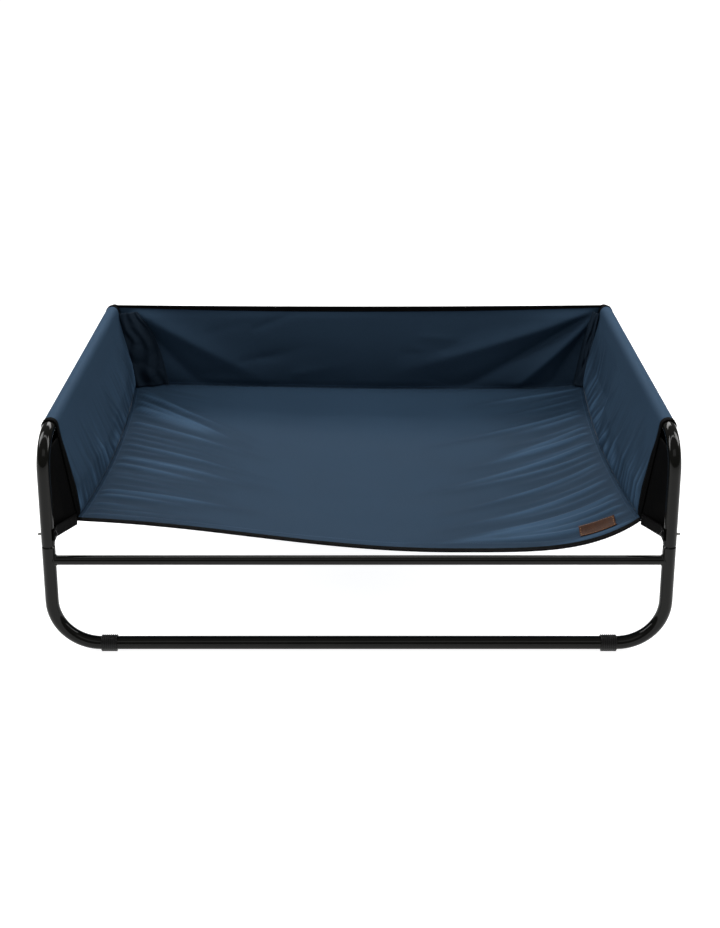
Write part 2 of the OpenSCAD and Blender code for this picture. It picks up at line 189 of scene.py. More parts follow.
def ramp(tree: Tree, source: Socket, stops: Sequence[tuple[float, tuple]]) -> Socket:
    """A colour ramp on a source, with its stops as (position, colour)."""
    node = add_node(tree, "ValToRGB", {"Fac": source})
    while len(node.color_ramp.elements) < len(stops):
        node.color_ramp.elements.new(0.5)
    for element, (position, colour) in zip(node.color_ramp.elements, stops):
        element.position, element.color = position, colour
    return node.outputs["Color"]


def grey(value: float) -> tuple[float, float, float, float]:
    """A neutral linear colour."""
    return (value, value, value, 1.0)


@dataclass(frozen=True)
class Finish:
    """A finish that a piece can wear: its name, its colour and how it takes the light."""

    name: str
    colour: str
    roughness: float
    specular: float = 0.5
    metallic: float = 0.0

    def material(self) -> bpy.types.Material:
        """The finish's material, made once."""
        known = bpy.data.materials.get(self.name)
        if known:
            return known
        made = bpy.data.materials.new(self.name)
        made.use_nodes = True
        made.diffuse_color = linear(self.colour)
        tree = made.node_tree
        tree.nodes.clear()
        shader = add_node(tree, "BsdfPrincipled", values={
            "Base Color": linear(self.colour), "Roughness": self.roughness,
            "Specular IOR Level": self.specular, "Metallic": self.metallic,
        })
        add_node(tree, "OutputMaterial", {"Surface": shader.outputs["BSDF"]})
        self.dress(tree, shader)
        return made

    def dress(self, tree: Tree, shader: Node) -> None:
        """Add the finish's own grain to its shader; plain finishes have none."""

    def tinted(self, share: float) -> tuple[float, float, float, float]:
        """The finish's colour, lightened or darkened by a share."""
        return (*[clamp(c * share, 0, 1) for c in linear(self.colour)[:3]], 1.0)

    def tone(self, tree: Tree, shader: Node, source: Socket, *stops: tuple[float, float]) -> None:
        """Let a source tint the colour, with stops of its value and the tint's share."""
        colour = ramp(tree, source, [(at, self.tinted(share)) for at, share in stops])
        tree.links.new(colour, shader.inputs["Base Color"])

    def gloss(self, tree: Tree, shader: Node, source: Socket, low: float, high: float) -> None:
        """Let a source of 0 to 1 swing the roughness from low to high."""
        node = add_node(tree, "MapRange", {"Value": source}, {"To Min": low, "To Max": high})
        tree.links.new(node.outputs["Result"], shader.inputs["Roughness"])


def bumped(tree: Tree, shader: Node, height: Socket, depth: float) -> None:
    """Feed a height, 0 to 1 over a depth in metres, to a shader's normal."""
    bump = add_node(tree, "Bump", {"Height": height}, {"Strength": 1.0, "Distance": depth})
    tree.links.new(bump.outputs["Normal"], shader.inputs["Normal"])


@dataclass(frozen=True)
class PowderCoat(Finish):
    """Black gloss powder coat, sprayed and baked: a deep shine with a fine orange peel."""

    peel_pitch: float = 2.4 * MM
    peel_depth: float = 0.012 * MM

    def dress(self, tree: Tree, shader: Node) -> None:
        """Orange peel in the surface, and faint clouds in colour and gloss."""
        place = add_node(tree, "TexCoord").outputs["Object"]
        peel = add_node(tree, "TexNoise", {"Vector": place},
                        {"Scale": 1 / self.peel_pitch, "Detail": 1.5, "Roughness": 0.4})
        cloud = add_node(tree, "TexNoise", {"Vector": place}, {"Scale": 22.0, "Detail": 3.0})
        self.tone(tree, shader, cloud.outputs["Fac"], (0.3, 0.8), (0.7, 1.25))
        self.gloss(tree, shader, cloud.outputs["Fac"], self.roughness * 0.85, self.roughness * 1.2)
        bumped(tree, shader, peel.outputs["Fac"], self.peel_depth)


@dataclass(frozen=True)
class WovenCloth(Finish):
    """Plain-woven cloth: warp and weft threads in the piece's own UV, clouded, with painted light
    and shade from its attribute.

    The four shares set how much threads, clouds, slubs and the painted light and shade (painted
    highlight on crease ridges and rail sleeves, painted shade at crease feet) change the cloth's
    tone, in that order.
    """

    thread_pitch: float = 1.5 * MM
    thread_depth: float = 0.08 * MM
    contrast: float = 0.16
    mottle: float = 0.10
    fleck: float = 0.06
    # how much the painted light and shade lighten or darken the cloth
    rub: float = 0.8

    def dress(self, tree: Tree, shader: Node) -> None:
        """Threads over and under each other, slubs, soft clouds of tone, and painted light and
        shade.
        """
        flat = add_node(tree, "UVMap", uv_map=CLOTH_UV).outputs["UV"]
        turns = math.pi / self.thread_pitch
        axes = add_node(tree, "SeparateXYZ", {"Vector": flat})

        def calc(operation: str, a: Socket, *others) -> Socket:
            """A Math node on a socket and further inputs, each a socket or a number."""
            node = add_node(tree, "Math", {0: a}, operation=operation)
            for i, other in enumerate(others, 1):
                if isinstance(other, (int, float)):
                    node.inputs[i].default_value = other
                else:
                    tree.links.new(other, node.inputs[i])
            return node.outputs["Value"]

        def about_one(source: Socket, share: float) -> Socket:
            """A source of 0 to 1 as a factor that swings a share to each side of 1."""
            return calc("MULTIPLY_ADD", source, 2 * share, 1 - share)

        warp = calc("SINE", calc("MULTIPLY", axes.outputs["X"], turns))
        weft = calc("SINE", calc("MULTIPLY", axes.outputs["Y"], turns))
        height = calc("MULTIPLY_ADD", calc("MULTIPLY", warp, weft), 0.5, 0.5)
        slub = add_node(tree, "TexNoise", {"Vector": flat},
                        {"Scale": 260.0, "Detail": 2.0, "Roughness": 0.6})
        cloud = add_node(tree, "TexNoise", {"Vector": flat},
                         {"Scale": 7.0, "Detail": 4.0, "Roughness": 0.55})
        # painted light and shade from the sheet's attribute: painted highlight on crease ridges
        # and rail sleeves, painted shade at crease feet
        wear = add_node(tree, "Attribute", attribute_name=PAINTED_LIGHT_ATTR).outputs["Fac"]
        woven = calc("MULTIPLY", about_one(height, self.contrast / 2),
                     about_one(cloud.outputs["Fac"], self.mottle))
        slubs_and_painted_light = calc("MULTIPLY", about_one(slub.outputs["Fac"], self.fleck),
                    calc("MULTIPLY_ADD", wear, self.rub, 1.0))
        share = calc("MULTIPLY", woven, slubs_and_painted_light)
        colour = add_node(tree, "VectorMath", {"Scale": share}, operation="SCALE")
        colour.inputs[0].default_value = linear(self.colour)[:3]
        tree.links.new(colour.outputs["Vector"], shader.inputs["Base Color"])
        self.gloss(tree, shader, cloud.outputs["Fac"], self.roughness - 0.05,
                   self.roughness + 0.06)
        bumped(tree, shader, height, self.thread_depth)


@dataclass(frozen=True)
class MouldedVinyl(Finish):
    """Moulded soft vinyl: satin black with a faint spark-eroded grain."""

    grain_pitch: float = 1.2 * MM

    def dress(self, tree: Tree, shader: Node) -> None:
        """A fine grain in the surface and in its tone."""
        place = add_node(tree, "TexCoord").outputs["Object"]
        grain = add_node(tree, "TexNoise", {"Vector": place},
                         {"Scale": 1 / self.grain_pitch, "Detail": 2.0})
        self.tone(tree, shader, grain.outputs["Fac"], (0.35, 0.8), (0.7, 1.5))
        bumped(tree, shader, grain.outputs["Fac"], 0.05 * MM)


@dataclass(frozen=True)
class PlatedSteel(Finish):
    """Zinc-plated steel, turned and tumbled: a fine, slightly uneven shine."""

    def dress(self, tree: Tree, shader: Node) -> None:
        """Tumbling marks in gloss and colour."""
        place = add_node(tree, "TexCoord").outputs["Object"]
        marks = add_node(tree, "TexNoise", {"Vector": place}, {"Scale": 900.0, "Detail": 2.0})
        self.tone(tree, shader, marks.outputs["Fac"], (0.3, 0.75), (0.7, 1.1))
        self.gloss(tree, shader, marks.outputs["Fac"], self.roughness - 0.08,
                   self.roughness + 0.12)
        bumped(tree, shader, marks.outputs["Fac"], 0.02 * MM)


@dataclass(frozen=True)
class GrainedLeather(Finish):
    """Brown split leather, rolled and waxed: pebbled grain, dark in its valleys."""

    pebble: float = 1.6 * MM

    def dress(self, tree: Tree, shader: Node) -> None:
        """Pebbled grain in height and colour, with blotches of wax."""
        flat = add_node(tree, "UVMap", uv_map=CLOTH_UV).outputs["UV"]
        grain = add_node(tree, "TexVoronoi", {"Vector": flat}, {"Scale": 1 / self.pebble},
                         feature="DISTANCE_TO_EDGE")
        wax = add_node(tree, "TexNoise", {"Vector": flat}, {"Scale": 90.0, "Detail": 4.0})
        valley = ramp(tree, grain.outputs["Distance"],
                      [(0.0, self.tinted(0.45)), (0.22, self.tinted(1.05))])
        worn = ramp(tree, wax.outputs["Fac"], [(0.35, grey(0.75)), (0.7, grey(1.0))])
        mix = add_node(tree, "VectorMath", {0: valley, 1: worn}, operation="MULTIPLY")
        tree.links.new(mix.outputs["Vector"], shader.inputs["Base Color"])
        bumped(tree, shader, ramp(tree, grain.outputs["Distance"],
                                  [(0.0, grey(0.0)), (0.3, grey(1.0))]), 0.15 * MM)


class Finishes:
    """Every finish on the bed."""

    # Mild steel tube under gloss black powder coat: deep, wet-looking, thin crisp highlights
    FRAME = PowderCoat("gloss_black_powder_coat", "#0a0a08", 0.1, 0.17)
    # 600-denier polyester Oxford with a coated back: matt navy, with a painted highlight on its
    # creases and rail sleeves and painted shade at the creases' feet.
    # Its 0.6 mm threads are drawn at 1.5 mm, as finer ones would not show
    NAVY = WovenCloth("navy_coated_oxford", "#263748", 0.65, 0.05)
    # The coated reverse of the same cloth, folded out in the rear corners: its colour is darkened
    # with painted shade, and it is smoother
    NAVY_REVERSE = WovenCloth("navy_oxford_reverse", "#17222d", 0.6, 0.05)
    # The same cloth in black, seen on its coated inner face: darker and a little shinier
    BLACK_OXFORD = WovenCloth("black_coated_oxford", "#050505", 0.6, 0.03)
    # Polypropylene binding tape: ribbed across its width and fairly matt
    TAPE = WovenCloth("black_binding_tape", "#050505", 0.62, 0.03, thread_pitch=1.2 * MM,
                      thread_depth=0.15 * MM, contrast=0.5)
    # Woven nylon webbing: thick, flat threads with a dull shine
    WEBBING = WovenCloth("black_nylon_webbing", "#050505", 0.6, 0.03, thread_pitch=1.8 * MM,
                         thread_depth=0.3 * MM, contrast=0.5)
    # Bonded polyester sewing thread, a shade lighter than the cloth as a painted highlight where
    # it stands proud
    NAVY_THREAD = Finish("navy_sewing_thread", "#2f4863", 0.6, 0.1)
    BLACK_THREAD = Finish("black_sewing_thread", "#101011", 0.6, 0.15)
    TAN_THREAD = Finish("tan_sewing_thread", "#a3713a", 0.5, 0.4)
    # Plasticised PVC, injection moulded: satin black
    VINYL = MouldedVinyl("black_moulded_vinyl", "#0a0a0a", 0.42, 0.2)
    # Zinc plate on a cold-headed bolt, dulled by handling
    ZINC = PlatedSteel("dull_zinc_plate", "#b4b4b0", 0.34, metallic=1.0)
    # Black zinc plate on the washers and the pressed eyelets: near black, with a low shine
    BLACK_ZINC = PlatedSteel("black_zinc_plate", "#19191a", 0.38, metallic=1.0)
    # Waxed split leather for the sewn patch
    LEATHER = GrainedLeather("brown_grained_leather", "#4a2810", 0.55, 0.15)


# ---------------------------------------------------------------- making pieces

def publish(bm: Shape, name: str, finish: Finish,
            replaces: Sequence[str] = (), angle: float = 40.0,
            others: Sequence[Finish] = ()) -> Piece:
    """Turn a bmesh into a shown piece that rides on the bed.

    Args:
        bm: the shape, in its place, which is freed.
        name: the piece's name.
        finish: what it wears.
        replaces: CAD nodes that it stands for.
        angle: faces that meet more sharply than this, in degrees, keep a crisp edge.
        others: finishes of the faces whose material index is 1 or more.

    Returns:
        The new object.
    """
    mesh = bpy.data.meshes.new(name)
    for edge in bm.edges:
        if edge.is_manifold and edge.calc_face_angle(0.0) > math.radians(angle):
            edge.smooth = False
    for face in bm.faces:
        face.smooth = True
    bm.to_mesh(mesh)
    bm.free()
    for each in (finish, *others):
        mesh.materials.append(each.material())
    piece = bpy.data.objects.new(name, mesh)
    bpy.context.scene.collection.objects.link(piece)
    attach(piece, BODY)
    if replaces:
        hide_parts(*replaces)
    LOG.info("%s: %d faces", name, len(mesh.polygons))
    return piece


def cloth_grid(place: Place, columns: int, rows: int, size: tuple[float, float],
               worn: Optional[PaintedLightAt] = None) -> Shape:
    """A sheet as a grid of quads whose corners place() puts where they belong.

    Args:
        place: gives a point for (s, t), both from 0 to 1.
        columns: quads along s.
        rows: quads along t.
        size: the sheet's flat size along s and t, for its thread pattern.
        worn: gives the painted light and shade at (s, t): a painted highlight above 0 and painted
            shade below 0.

    Returns:
        The sheet, with a UV map in metres and its painted light and shade.
    """
    bm = bmesh.new()
    uv = bm.loops.layers.uv.new(CLOTH_UV)
    wear = bm.verts.layers.float.new(PAINTED_LIGHT_ATTR)
    bmesh.ops.create_grid(bm, x_segments=columns, y_segments=rows, size=0.5)
    for face in bm.faces:
        for loop in face.loops:
            x, y = loop.vert.co.x + 0.5, loop.vert.co.y + 0.5
            loop[uv].uv = (x * size[0], y * size[1])
    for vert in bm.verts:
        s, t = clamp(vert.co.x + 0.5, 0, 1), clamp(vert.co.y + 0.5, 0, 1)
        vert[wear] = worn(s, t) if worn else 0.0
        vert.co = place(s, t)
    return bm


def thicken(piece: Piece, thickness: float) -> None:
    """Give a sheet its thickness, half to each side, with a live Solidify."""
    solid = piece.modifiers.new("thickness", "SOLIDIFY")
    solid.thickness, solid.offset, solid.use_even_offset = thickness, 0.0, False


@dataclass
class Edge:
    """An edge of a sheet, for bindings and stitches to follow."""

    place: Place
    along_s: bool
    at: float
    inward: float

    def point(self, share: float, inset: float, lift: float = 0.0) -> Vector:
        """A point on the sheet beside its edge.

        Args:
            share: how far along the edge, 0 to 1.
            inset: metres in from the edge.
            lift: metres off the sheet's face.

        Returns:
            The point.
        """
        step = 0.004

        def on(a: float, b: float) -> Vector:
            """The sheet's point, a along the edge and b across it."""
            return self.place(a, b) if self.along_s else self.place(b, a)

        here = on(share, self.at)
        reach = (on(share, self.at + self.inward * 4 * step) - here).length / (4 * step)
        base = self.at + self.inward * max(0.0, inset) / reach
        into = on(share, base + self.inward * step) - on(share, base)
        ahead = on(min(share + step, 1), base) - on(max(share - step, 0), base)
        into = (into - into.project(ahead)).normalized()
        face = (ahead.cross(into) * self.inward * (1 if self.along_s else -1)).normalized()
        return on(share, base) + into * min(0.0, inset) + face * lift


def tape_fold(edge: Edge, name: str, node: str, steps: int, width: float, lip: float,
              length: float) -> Piece:
    """Binding tape folded over an edge and sewn down, a little uneven as hand-fed tape is.

    Args:
        edge: the edge that it binds.
        name: the piece's name.
        node: the CAD node that it stands for.
        steps: quads along it.
        width: how far it reaches in on each face.
        lip: half the gap that it folds round.
        length: its length, for its ribs.

    Returns:
        The tape.
    """
    turn = math.pi * lip
    total = 2 * width + turn
    sway, tape_t = 0.25 * MM, 0.5 * MM

    def place(s: float, t: float) -> Vector:
        """A point of the tape, s along it and t across it."""
        d = t * total
        wave = sway * noise.noise(Vector((s * length * 40, 3.1, 0)))
        if d < width:
            return edge.point(s, width - d + wave, lip)
        if d > width + turn:
            return edge.point(s, d - width - turn + wave, -lip)
        a = (d - width) / lip
        return edge.point(s, -lip * math.sin(a), lip * math.cos(a))

    tape = publish(cloth_grid(place, steps, 14, (length, total)), name, Finishes.TAPE,
                   (node,))
    thicken(tape, tape_t)
    return tape


def stitch_row(name: str, path: Callable[[float], tuple[Vector, Vector]], length: float,
               finish: Finish, pitch: float = 4.2 * MM,
               radius: float = 0.38 * MM) -> Piece:
    """A row of machine stitches, each a short thread that dips into the cloth at its ends.

    Args:
        name: the piece's name.
        path: gives the point and the tangent at a share of the row.
        length: the row's length.
        finish: the thread.
        pitch: the stitches' spacing; sewn at about 3 mm, they are drawn a little longer to show.
        radius: the thread's radius.

    Returns:
        The row.
    """
    bm = bmesh.new()
    count = max(2, int(length / pitch))
    half_share, flatness = 0.42, 0.8
    shape = Matrix.Diagonal((half_share * pitch / radius, 1.0, flatness, 1.0))
    for i in range(count):
        centre, tangent = path((i + 0.5) / count)
        turn = Vector((1, 0, 0)).rotation_difference(tangent).to_matrix().to_4x4()
        bmesh.ops.create_icosphere(bm, subdivisions=1, radius=radius,
                                   matrix=Matrix.Translation(centre) @ turn @ shape)
    return publish(bm, name, finish)


def edge_stitches(name: str, edge: Edge, inset: float, lift: float, length: float,
                  finish: Finish = Finishes.NAVY_THREAD,
                  span: tuple[float, float] = (0.01, 0.99)) -> Piece:
    """Stitches that follow a sheet's edge at an inset, over a span of its length."""
    step = 0.004

    def path(share: float) -> tuple[Vector, Vector]:
        """The stitches' point and tangent."""
        a = span[0] + (span[1] - span[0]) * share
        here = edge.point(a, inset, lift)
        there = edge.point(min(a + step, 1.0), inset, lift)
        back = edge.point(max(a - step, 0.0), inset, lift)
        return here, (there - back).normalized()

    return stitch_row(name, path, length * (span[1] - span[0]), finish)


# ---------------------------------------------------------------- the sling's shape

@dataclass(frozen=True)
class Crease:
    """A ridge, or a hollow where its height is below 0, that runs across cloth under tension."""

    start: tuple[float, float]
    angle: float
    length: float
    width: float
    height: float
    widening: float = 0.5
    reach: float = 3.0

    def lift(self, x: float, y: float) -> float:
        """How far the crease lifts the cloth at a point of the sheet."""
        dx, dy = x - self.start[0], y - self.start[1]
        c, s = math.cos(self.angle), math.sin(self.angle)
        t = (dx * c + dy * s) / self.length
        if not 0 < t < 1:
            return 0.0
        across = abs(dy * c - dx * s) / (self.width * (1 + self.widening * t))
        if across > self.reach:
            return 0.0
        return self.height * math.exp(-across ** 1.4) * math.sin(math.pi * t ** 0.45)


def crease_wear(creases: Iterable[Crease], x: float, y: float, full: float) -> float:
    """Painted light and shade on creased cloth: a painted highlight on its ridges and painted
    shade at their feet.

    Args:
        creases: the cloth's creases.
        x: the place on the sheet.
        y: the place on the sheet.
        full: the ridge height that gets the full painted highlight.

    Returns:
        1 on a full ridge, a little below 0 at its foot and 0 on smooth cloth.
    """
    ridge = clamp(sum(c.lift(x, y) for c in creases) / full, 0, 1)
    return ridge * (1.9 * ridge - 0.9)


@dataclass
class Sling:
    """The sling: floor, two walls with rail sleeves, back wall and all that is sewn to them."""

    sizes: BedSizes = SIZES
    cloth_t: float = 0.9 * MM
    seam_allowance: float = 7 * MM
    seam_step: float = 0.6 * MM
    stitch_dent: float = 0.35 * MM
    hem_depth: float = 25 * MM
    hem_step: float = 1.0 * MM
    ripple: float = 0.8 * MM
    flap_gap: float = 2.0 * MM
    thread_lift: float = 0.55 * MM
    tape_thread_lift: float = 1.15 * MM
    tape_lip: float = 0.8 * MM
    floor_creases: list[Crease] = field(default_factory=list)

    # Shape of the panels, which follows the frame

    def seam(self, v: float) -> tuple[float, float]:
        """The right side seam's x and z, v from -1 at the front to 1 at the rear."""
        z = self.sizes
        return z.seam_x - z.seam_bow * (1 - v * v), z.seam_z - z.seam_dip * (1 - v * v)

    def rail(self, angle: float) -> tuple[float, float]:
        """A point on the cloth round the rail."""
        z = self.sizes
        return z.leg_x + z.wrap_r * math.cos(angle), z.rail_z + z.wrap_r * math.sin(angle)

    def wrap(self, v: float) -> tuple[float, float, float]:
        """How the right wall meets the rail at v.

        Returns:
            Its straight length below the rail, and the angles at which it meets and leaves it.
        """
        z = self.sizes
        fx, fz = self.seam(v)
        dx, dz = z.leg_x - fx, z.rail_z - fz
        reach = math.hypot(dx, dz)
        lean, swing = math.atan2(dz, dx), math.asin(z.wrap_r / reach)
        return reach * math.cos(swing), lean + swing + math.pi / 2, lean - swing - math.pi / 2

    def section(self, v: float, w: float) -> tuple[float, float, float, float]:
        """The right wall's section.

        Args:
            v: -1 at the front to 1 at the rear.
            w: metres up from the side seam, over the rail and down to the flap's hem.

        Returns:
            x, z, and the x and z of the direction that the cloth's face looks in.
        """
        fx, fz = self.seam(v)
        straight, start, stop = self.wrap(v)
        arc = self.sizes.wrap_r * (start - stop)
        if w <= straight:
            tx, tz = self.rail(start)
            ux, uz = (tx - fx) / straight, (tz - fz) / straight
            return fx + ux * w, fz + uz * w, -uz, ux
        if w <= straight + arc:
            a = start - (w - straight) / self.sizes.wrap_r
            return *self.rail(a), math.cos(a), math.sin(a)
        ox, oz = self.rail(stop)
        bx = fx + self.flap_gap
        n = math.hypot(bx - ox, fz - oz)
        ux, uz = (bx - ox) / n, (fz - oz) / n
        d = w - straight - arc
        return ox + ux * d, oz + uz * d, -uz, ux

    def wall_length(self, v: float) -> float:
        """The wall's length from seam to hem."""
        straight, start, stop = self.wrap(v)
        return straight + self.sizes.wrap_r * (start - stop) + self.sizes.flap_h

    def floor_half(self, y: float) -> float:
        """Half the floor's width at y."""
        return self.seam(clamp(y / self.sizes.sleeve_y))[0] - 0.5 * MM

    def floor_z(self, x: float, y: float) -> float:
        """The floor's height, without its creases."""
        z = self.sizes
        half = self.floor_half(y)
        depth = z.rear_sag + (z.front_sag - z.rear_sag) * clamp(
            (z.floor_rear - y) / (z.floor_rear - z.floor_front), 0, 1) ** 1.3
        off = x - z.sag_offset
        if off > 0:
            share = 1 - clamp(off / (half - z.sag_offset), 0, 1) ** 4
        else:
            t = clamp(-off / (half + z.sag_offset), 0, 1)
            share = 0.75 * (1 + math.cos(math.pi * t)) / 2 + 0.25 * (1 - t * t)
        return self.seam(clamp(y / z.sleeve_y))[1] + 3 * MM - depth * share

    def floor_spot(self, s: float, t: float) -> tuple[float, float, float]:
        """The x and y of a point of the floor, and how far it is from the nearer side seam."""
        z = self.sizes
        y = z.floor_front + (z.floor_rear - z.floor_front) * t
        half = self.floor_half(y)
        x = half * (2 * s - 1)
        return x, y, half - abs(x)

    def floor_point(self, s: float, t: float) -> Vector:
        """A point of the floor, s from left to right and t from front to rear."""
        x, y, aside = self.floor_spot(s, t)
        ahead, behind = y - self.sizes.floor_front, self.sizes.floor_rear - y
        seam, hem = self.seam_allowance, self.hem_depth
        free = smooth(4 * MM, 26 * MM, aside)
        free *= smooth(0, 30 * MM, ahead) * smooth(0, 60 * MM, behind)
        height = self.floor_z(x, y)
        height += free * sum(c.lift(x, y) for c in self.floor_creases)
        height += self.seam_step * (1 - smooth(seam, seam + 2 * MM, aside))
        height -= self.stitch_dent * math.exp(-((aside - seam) / (1.2 * MM)) ** 2)
        height += self.hem_step * (1 - smooth(hem - 2 * MM, hem + 2 * MM, ahead))
        height += free * self.ripple * noise.noise(Vector((x * 9, y * 14, 5.0)))
        return Vector((x, y, height))

    def fan(self, side: Side, dice: random.Random) -> list[Crease]:
        """The tension creases that fan out over the floor from one side seam."""
        z = self.sizes
        turns = (0.02, 0.30, 0.46, 0.78) if side is Side.LEFT else (0.06, 0.40, 0.44, 0.30)
        count, strong_share = 23, 0.45
        creases = []
        for i in range(count):
            v = clamp(-0.97 + 1.9 * (i + dice.uniform(-0.3, 0.3)) / (count - 1))
            y = v * z.sleeve_y
            place = (v + 1) / 2 * (len(turns) - 1)
            k = min(int(place), len(turns) - 2)
            turn = turns[k] + (turns[k + 1] - turns[k]) * (place - k) + dice.uniform(-0.05, 0.05)
            x = side.value * (self.floor_half(y) - 6 * MM)
            angle = -turn if side is Side.LEFT else math.pi + turn
            strong = dice.random() < strong_share
            length = dice.uniform(0.18, 0.36) * (1.15 if strong else 0.8)
            width = dice.uniform(6.0, 8.5) * MM
            height = (dice.uniform(5.5, 7.5) if strong else dice.uniform(3.0, 4.6)) * MM
            creases.append(Crease((x, y), angle, length, width, height))
        return creases

    # Panels

    def build(self) -> None:
        """Make every piece of the sling."""
        dice = random.Random(TRIM_SEED)
        self.floor_creases = [*self.fan(Side.LEFT, dice), *self.fan(Side.RIGHT, dice)]
        self.make_floor()
        for side in Side:
            self.make_wall(side, dice)
            self.make_outer_panel(side)
            for end in End:
                self.make_gusset(side, end, dice)
        self.make_back_wall(dice)
        for side in Side:
            self.make_corner_fold(side)
            for end in End:
                self.make_tab(side, end)
        self.make_patch()

    def cloth(self, name: str, node: str, place: Place, grid: tuple[int, int],
              flat: tuple[float, float], finish: Finish, slot: str,
              worn: Optional[PaintedLightAt] = None) -> Piece:
        """A panel of the sling's cloth, one cloth thick.

        Args:
            name: the piece's name.
            node: the CAD node that it stands for.
            place: gives a point for (s, t), both from 0 to 1.
            grid: quads along s and t.
            flat: its flat size along s and t.
            finish: what it wears.
            slot: the record's material slot; not used.
            worn: its painted light and shade at (s, t), if it has any.

        Returns:
            The panel.
        """
        panel = publish(cloth_grid(place, *grid, flat, worn), name, finish, (node,))
        thicken(panel, self.cloth_t)
        return panel

    def make_floor(self) -> None:
        """The floor, its front binding and its rows of stitches."""
        z = self.sizes
        flat = (0.945, 0.650)
        # crest: ridge height that gets the full painted highlight; streak: share of painted light
        # and shade in streaks for fine creases, fading over streak_reach from the seams
        crest, streak, streak_reach = 5.0 * MM, 0.22, (60 * MM, 240 * MM)

        def worn(s: float, t: float) -> float:
            """The floor's painted light and shade: on its creases, and in streaks that stand for
            fine creases near the side seams.
            """
            x, y, aside = self.floor_spot(s, t)
            streaks = streak * noise.noise(Vector((x * 7, (y + 0.5 * t * aside) * 120, 6.0)))
            streaks *= 1 - smooth(*streak_reach, aside)
            return crease_wear(self.floor_creases, x, y, crest) + streaks

        floor = self.cloth("floor_cloth", "floor_panel", self.floor_point, (126, 290), flat,
                           Finishes.NAVY, "navy_oxford", worn)
        front = Edge(self.floor_point, True, 0.0, 1)
        rear = Edge(self.floor_point, True, 1.0, -1)
        left = Edge(self.floor_point, False, 0.0, 1)
        right = Edge(self.floor_point, False, 1.0, -1)
        binding = tape_fold(front, "front_hem_tape", "front_hem_binding", 120, z.tape_w,
                            self.tape_lip, flat[0])
        lift, across, along = self.thread_lift, 0.94, 0.64
        rows = [
            edge_stitches("front_tape_stitches", front, z.tape_w - 2 * MM, self.tape_thread_lift,
                          across, Finishes.BLACK_THREAD),
            edge_stitches("front_hem_stitches", front, self.hem_depth, lift, across),
            edge_stitches("rear_floor_stitches", rear, 6 * MM, lift, across),
        ]
        for name, edge in (("left", left), ("right", right)):
            for row, inset in (("outer", 2.2 * MM), ("inner", self.seam_allowance)):
                rows.append(edge_stitches(f"{name}_floor_stitches_{row}", edge, inset, lift,
                                          along))

    def wall_creases(self, side: Side, dice: random.Random) -> list[Crease]:
        """Fine creases that rise from a wall's lower seam, leaning forward as they go up."""
        creases = []
        count, tall_share = 31, 0.5
        share = 1 if side is Side.LEFT else 1.2
        for i in range(count):
            v = -0.96 + 1.9 * (i + dice.uniform(-0.35, 0.35)) / (count - 1)
            lean = 0.62 * math.exp(-((v - 0.1) / 0.55) ** 2) + 0.12
            tall = dice.random() < tall_share
            length = (dice.uniform(110, 165) if tall else dice.uniform(50, 90)) * MM
            width = dice.uniform(4.4, 6.6) * MM
            height = dice.uniform(2.8, 4.8) * MM * share
            creases.append(Crease((v * self.sizes.sleeve_y, 2 * MM), math.pi / 2 + lean, length,
                                  width, height))
        return creases

    def wall_fold(self, side: Side, y: float, w: float) -> float:
        """The fold line about a third of the way up a wall, where the doubled hem ends."""
        line = (58 + 8 * math.sin(y * 7 + side.value)) * MM
        top, fade, depth = 150 * MM, 90 * MM, 6.0 * MM
        if w <= 0 or w > top:
            return 0.0
        peak = w / line if w < line else max(0.0, 1 - (w - line) / fade)
        if side is Side.RIGHT:
            pull = smooth(0.02, 0.09, y) * (1 - smooth(0.24, 0.29, y))
            depth *= 1 - 2.6 * pull
        return depth * peak ** 1.15

    def make_wall(self, side: Side, dice: random.Random) -> None:
        """A side wall with its sleeve over the rail, its bindings and its stitches."""
        z = self.sizes
        creases = self.wall_creases(side, dice)
        name = side.label
        # The first is the ridge height that gets the full painted highlight, the second the share
        # of painted light and shade in streaks for fine creases, the third the painted highlight
        # over the rail
        crest, streak, rail_highlight_share, streak_fade = 4 * MM, 0.3, 0.42, (90 * MM, 160 * MM)

        def place(s: float, t: float) -> Vector:
            """A point of the wall, s from front to rear and t from seam to hem."""
            v = 2 * s - 1
            y, w = v * z.sleeve_y, t * self.wall_length(v)
            x, height, nx, nz = self.section(v, w)
            ends = smooth(0, 12 * MM, z.sleeve_y - abs(y))
            lift = sum(c.lift(y, w) for c in creases) * smooth(2 * MM, 14 * MM, w)
            lift += self.wall_fold(side, y, w)
            lift += 0.5 * MM * noise.noise(Vector((y * 12, w * 22, side.value * 4.0)))
            lift *= ends * (1 - smooth(150 * MM, 172 * MM, w))
            return Vector((side.value * (x + nx * lift), y, height + nz * lift))

        def worn(s: float, t: float) -> float:
            """The wall's painted light and shade: on its creases, in streaks for fine creases low
            on the wall, and a painted highlight where the sleeve goes over the rail.
            """
            v = 2 * s - 1
            w = t * self.wall_length(v)
            y = v * z.sleeve_y
            streaks = streak * noise.noise(Vector(((y + 0.2 * w) * 130, w * 7, side.value * 3.0)))
            streaks *= 1 - smooth(*streak_fade, w)
            # painted highlight on the sleeve where it goes over the rail, lit from above
            rail_highlight = rail_highlight_share * smooth(0, 14 * MM, w - self.wrap(v)[0])
            return crease_wear(creases, y, w, crest) + streaks + rail_highlight

